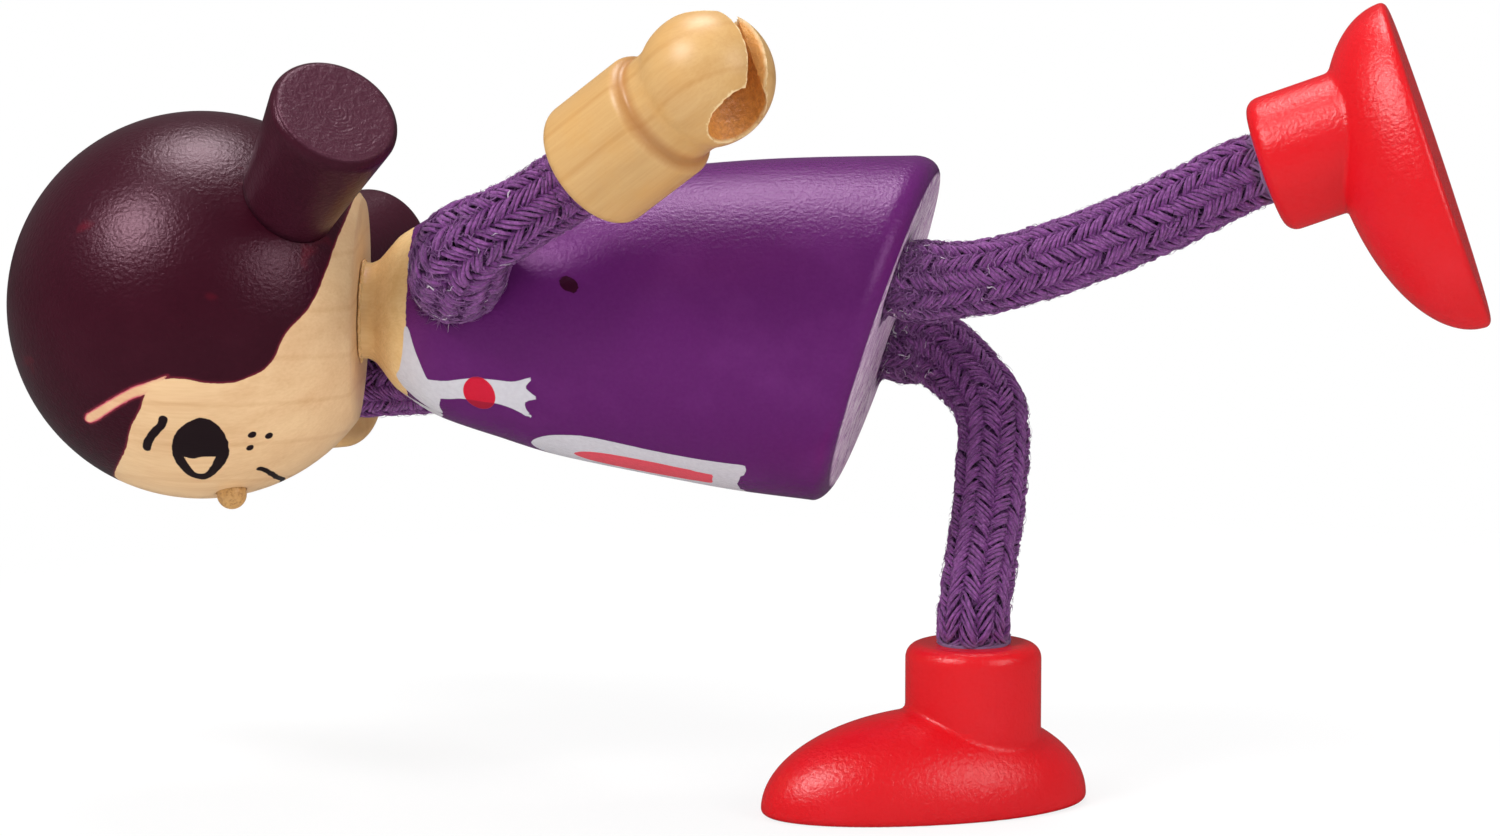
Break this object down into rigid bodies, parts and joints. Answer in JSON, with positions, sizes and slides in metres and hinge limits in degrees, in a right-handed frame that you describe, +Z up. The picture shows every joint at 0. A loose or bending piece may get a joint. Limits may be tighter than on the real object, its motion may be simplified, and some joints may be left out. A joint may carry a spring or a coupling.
{
  "type": "bendable wooden doll",
  "caption": "Turned wooden doll with a ball head, hair bunches, a bell-shaped torso, braided bendable limbs, clip hands and domed shoes, posed on one foot.",
  "frame": {"origin": "on the floor, in the sole of the standing shoe, under the middle of its cuff", "axes": "+Z up; +X from the head towards the raised foot, along the leaning torso; -Y towards the doll's left side, which the picture shows"},
  "size_m": [0.1128, 0.058, 0.0617],
  "materials": {
    "face_wood": "turned pale wood with painted dark hair and features, satin varnish",
    "bare_wood": "plain turned peg wood",
    "hair_paint": "dark maroon gloss paint on wood",
    "dress_paint": "purple satin paint on wood",
    "clear_wood": "amber varnish on end-grain wood",
    "shoe_paint": "red satin paint on wood",
    "cord": "purple braided cotton",
    "wire": "soft steel wire"
  },
  "bodies": {
    "torso": {"torso_block": "dress_paint", "neck_dowel": "bare_wood", "left_chest_cord": "cord", "left_chest_wire": "wire", "left_hip_cord": "cord", "left_hip_wire": "wire", "right_chest_cord": "cord", "right_chest_wire": "wire", "right_hip_cord": "cord", "right_hip_wire": "wire"},
    "head": {"head_ball": "face_wood", "nose_peg": "bare_wood", "left_hair_bunch": "hair_paint", "right_hair_bunch": "hair_paint"},
    "left_shoulder": {"left_upper_arm_cord": "cord", "left_upper_arm_wire": "wire"},
    "left_upper_arm": {"left_mid_arm_cord": "cord", "left_mid_arm_wire": "wire"},
    "left_forearm": {"left_lower_arm_cord": "cord", "left_lower_arm_wire": "wire"},
    "left_hand": {"left_wrist_cord": "cord", "left_wrist_wire": "wire", "left_hand": "clear_wood"},
    "left_hip": {"left_upper_leg_cord": "cord", "left_upper_leg_wire": "wire"},
    "left_thigh": {"left_mid_leg_cord": "cord", "left_mid_leg_wire": "wire"},
    "left_shin": {"left_lower_leg_cord": "cord", "left_lower_leg_wire": "wire"},
    "left_foot": {"left_ankle_cord": "cord", "left_ankle_wire": "wire", "left_shoe": "shoe_paint"},
    "right_shoulder": {"right_upper_arm_cord": "cord", "right_upper_arm_wire": "wire"},
    "right_upper_arm": {"right_mid_arm_cord": "cord", "right_mid_arm_wire": "wire"},
    "right_forearm": {"right_lower_arm_cord": "cord", "right_lower_arm_wire": "wire"},
    "right_hand": {"right_wrist_cord": "cord", "right_wrist_wire": "wire", "right_hand": "clear_wood"},
    "right_hip": {"right_upper_leg_cord": "cord", "right_upper_leg_wire": "wire"},
    "right_thigh": {"right_mid_leg_cord": "cord", "right_mid_leg_wire": "wire"},
    "right_shin": {"right_lower_leg_cord": "cord", "right_lower_leg_wire": "wire"},
    "right_foot": {"right_ankle_cord": "cord", "right_ankle_wire": "wire", "right_shoe": "shoe_paint"}
  },
  "joints": [
    {"name": "head_turn", "type": "hinge", "parent": "torso", "child": "head", "pos_m": [-0.04707, 0.00768, 0.0372], "axis": [0.9993, -0.0155, -0.0332], "range_deg": [0, 80]},
    {"name": "left_shoulder_swing", "type": "hinge", "parent": "torso", "child": "left_shoulder", "pos_m": [-0.03979, -0.00125, 0.04071], "axis": [0.9971, -0.0761, -0.0067], "range_deg": [-40, 40], "deforming": ["left_chest_cord", "left_chest_wire", "left_upper_arm_cord", "left_upper_arm_wire"]},
    {"name": "left_shoulder_raise", "type": "hinge", "parent": "left_shoulder", "child": "left_upper_arm", "pos_m": [-0.03876, -0.00525, 0.04298], "axis": [0.0358, 0.601, 0.7984], "range_deg": [-40, 15], "deforming": ["left_upper_arm_cord", "left_upper_arm_wire", "left_mid_arm_cord", "left_mid_arm_wire"]},
    {"name": "left_elbow_bend", "type": "hinge", "parent": "left_upper_arm", "child": "left_forearm", "pos_m": [-0.03414, -0.00764, 0.0457], "axis": [-0.5586, 0.0233, 0.8291], "range_deg": [-45, 40], "deforming": ["left_mid_arm_cord", "left_mid_arm_wire", "left_lower_arm_cord", "left_lower_arm_wire"]},
    {"name": "left_wrist_bend", "type": "hinge", "parent": "left_forearm", "child": "left_hand", "pos_m": [-0.0295, -0.00769, 0.04922], "axis": [-0.0342, -0.7209, -0.6922], "range_deg": [-30, 30], "deforming": ["left_lower_arm_cord", "left_lower_arm_wire", "left_wrist_cord", "left_wrist_wire"]},
    {"name": "left_hip_swing", "type": "hinge", "parent": "torso", "child": "left_hip", "pos_m": [-0.00489, 0.00033, 0.04033], "axis": [-0.0206, 0.9066, -0.4214], "range_deg": [-40, 60], "deforming": ["left_hip_cord", "left_hip_wire", "left_upper_leg_cord", "left_upper_leg_wire"]},
    {"name": "left_hip_spread", "type": "hinge", "parent": "left_hip", "child": "left_thigh", "pos_m": [0.00088, 0.00006, 0.04072], "axis": [0.13, -0.419, -0.8986], "range_deg": [-25, 35], "deforming": ["left_upper_leg_cord", "left_upper_leg_wire", "left_mid_leg_cord", "left_mid_leg_wire"]},
    {"name": "left_knee_bend", "type": "hinge", "parent": "left_thigh", "child": "left_shin", "pos_m": [0.00851, -0.00044, 0.04303], "axis": [-0.2041, -0.9128, 0.3538], "range_deg": [-60, 60], "deforming": ["left_mid_leg_cord", "left_mid_leg_wire", "left_lower_leg_cord", "left_lower_leg_wire"]},
    {"name": "left_ankle_bend", "type": "hinge", "parent": "left_shin", "child": "left_foot", "pos_m": [0.02114, -0.00131, 0.0489], "axis": [0.228, -0.4115, -0.8824], "range_deg": [-30, 30], "deforming": ["left_lower_leg_cord", "left_lower_leg_wire", "left_ankle_cord", "left_ankle_wire"]},
    {"name": "right_shoulder_swing", "type": "hinge", "parent": "torso", "child": "right_shoulder", "pos_m": [-0.03972, 0.01612, 0.03263], "axis": [0.9989, -0.0426, -0.0205], "range_deg": [-60, 4], "deforming": ["right_chest_cord", "right_chest_wire", "right_upper_arm_cord", "right_upper_arm_wire"]},
    {"name": "right_shoulder_raise", "type": "hinge", "parent": "right_shoulder", "child": "right_upper_arm", "pos_m": [-0.04022, 0.02043, 0.03066], "axis": [0.0366, 0.3644, 0.9305], "range_deg": [-35, 8], "deforming": ["right_upper_arm_cord", "right_upper_arm_wire", "right_mid_arm_cord", "right_mid_arm_wire"]},
    {"name": "right_elbow_bend", "type": "hinge", "parent": "right_upper_arm", "child": "right_forearm", "pos_m": [-0.04399, 0.02487, 0.02953], "axis": [-0.5378, -0.7988, 0.2696], "range_deg": [-4, 55], "deforming": ["right_mid_arm_cord", "right_mid_arm_wire", "right_lower_arm_cord", "right_lower_arm_wire"]},
    {"name": "right_wrist_bend", "type": "hinge", "parent": "right_forearm", "child": "right_hand", "pos_m": [-0.0491, 0.02728, 0.02889], "axis": [0.0365, 0.3323, 0.9425], "range_deg": [-30, 12], "deforming": ["right_lower_arm_cord", "right_lower_arm_wire", "right_wrist_cord", "right_wrist_wire"]},
    {"name": "right_hip_swing", "type": "hinge", "parent": "torso", "child": "right_hip", "pos_m": [-0.00489, 0.01487, 0.03365], "axis": [-0.0303, 0.9052, -0.424], "range_deg": [-60, 35], "deforming": ["right_hip_cord", "right_hip_wire", "right_upper_leg_cord", "right_upper_leg_wire"]},
    {"name": "right_hip_spread", "type": "hinge", "parent": "right_hip", "child": "right_thigh", "pos_m": [-0.00023, 0.01295, 0.03158], "axis": [-0.7965, -0.2555, -0.548], "range_deg": [-35, 25], "deforming": ["right_upper_leg_cord", "right_upper_leg_wire", "right_mid_leg_cord", "right_mid_leg_wire"]},
    {"name": "right_knee_bend", "type": "hinge", "parent": "right_thigh", "child": "right_shin", "pos_m": [0.00186, 0.00797, 0.02593], "axis": [0.0035, -0.8134, 0.5817], "range_deg": [-45, 60], "deforming": ["right_mid_leg_cord", "right_mid_leg_wire", "right_lower_leg_cord", "right_lower_leg_wire"]},
    {"name": "right_ankle_bend", "type": "hinge", "parent": "right_shin", "child": "right_foot", "pos_m": [-0.00001, -0.00005, 0.0131], "axis": [-0.9991, -0.0183, -0.0393], "range_deg": [-30, 30], "deforming": ["right_lower_leg_cord", "right_lower_leg_wire", "right_ankle_cord", "right_ankle_wire"]}
  ]
}
